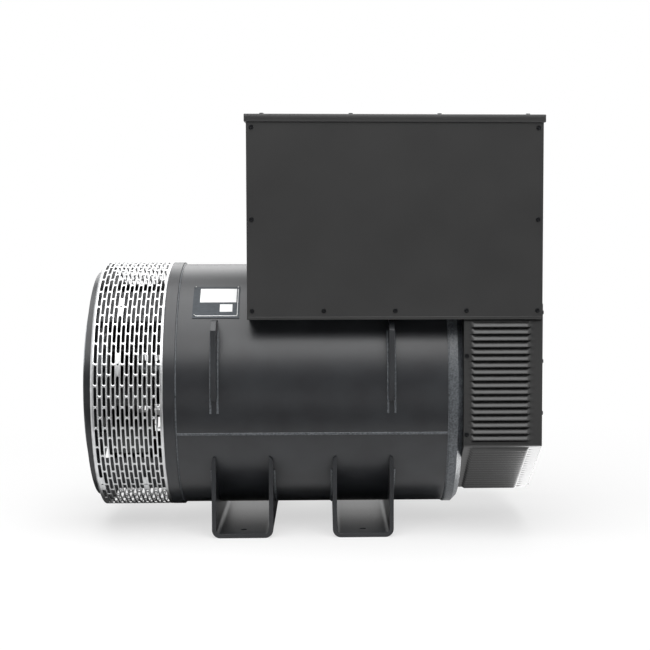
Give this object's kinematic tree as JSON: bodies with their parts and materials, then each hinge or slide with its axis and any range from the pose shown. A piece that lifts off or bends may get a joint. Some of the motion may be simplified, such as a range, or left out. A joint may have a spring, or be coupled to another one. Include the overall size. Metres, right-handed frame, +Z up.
{
  "type": "generator alternator head",
  "caption": "Single-bearing generator end with a flywheel-housing flange, slotted outlet screen, tube frame on channel feet, louvred inlet housing and a large conduit box.",
  "frame": {"origin": "centre of the flywheel-housing flange face on the shaft axis", "axes": "+X along the shaft to the non-drive end, +Z up, -Y to the nameplate side"},
  "size_m": [1.3932, 0.812, 1.2731],
  "materials": {
    "black_paint": "satin",
    "dark_sheet_paint": "satin powder coat",
    "screen_steel": "bright",
    "label_metal": "satin",
    "zinc_steel": "zinc plated",
    "black_screw": "black",
    "machined_steel": "machined",
    "bearing_steel": "ground",
    "electrical_steel": "varnished laminations",
    "copper_winding": "varnished",
    "cast_fan": "cast",
    "brass": "plain",
    "board": "moulded",
    "regulator_case": "potted"
  },
  "bodies": {
    "frame": {"de_adapter": "black_paint", "adapter_bars": "black_paint", "outlet_screen": "screen_steel", "frame_de_ring": "black_paint", "frame_shell_upper": "black_paint", "frame_shell_lower": "black_paint", "frame_nde_ring": "black_paint", "foot_de": "black_paint", "foot_nde": "black_paint", "lifting_lugs": "black_paint", "nameplate": "label_metal", "stator_core": "electrical_steel", "stator_core_bars": "machined_steel", "stator_winding": "copper_winding", "nde_bracket": "black_paint", "nde_bracket_bolts": "zinc_steel", "bearing_outer_race": "bearing_steel", "exciter_stator": "electrical_steel", "shroud_back_plate": "dark_sheet_paint", "shroud_side_front": "dark_sheet_paint", "shroud_side_rear": "dark_sheet_paint", "shroud_bottom": "dark_sheet_paint", "shroud_end_cover": "dark_sheet_paint", "shroud_screws": "black_screw", "box_frame": "dark_sheet_paint", "box_de_panel": "dark_sheet_paint", "box_nde_panel": "dark_sheet_paint", "box_front_cover": "dark_sheet_paint", "box_rear_cover": "dark_sheet_paint", "box_floor": "dark_sheet_paint", "box_lid": "dark_sheet_paint", "lid_screws": "black_screw", "box_screws": "black_screw", "terminal_rails": "machined_steel", "terminal_board": "board", "terminal_studs": "brass", "voltage_regulator": "regulator_case"},
    "rotor": {"rotor_shaft": "machined_steel", "drive_hub": "machined_steel", "drive_discs": "machined_steel", "disc_bolts": "zinc_steel", "fan": "cast_fan", "rotor_core": "electrical_steel", "field_coils": "copper_winding", "rectifier_wheel": "cast_fan", "exciter_armature": "electrical_steel", "bearing_inner_race": "bearing_steel"},
    "bearing_cage": {"bearing_cage": "bearing_steel"}
  },
  "joints": [
    {"name": "rotor_spin", "type": "hinge", "parent": "frame", "child": "rotor", "pos_m": [0, 0, 0], "axis": [1, 0, 0], "continuous": true},
    {"name": "cage_spin", "type": "hinge", "parent": "frame", "child": "bearing_cage", "pos_m": [1.1045, 0, 0], "axis": [1, 0, 0], "continuous": true}
  ],
  "couplings": [
    {"joint": "cage_spin", "follows": "rotor_spin", "ratio": 0.4071}
  ]
}
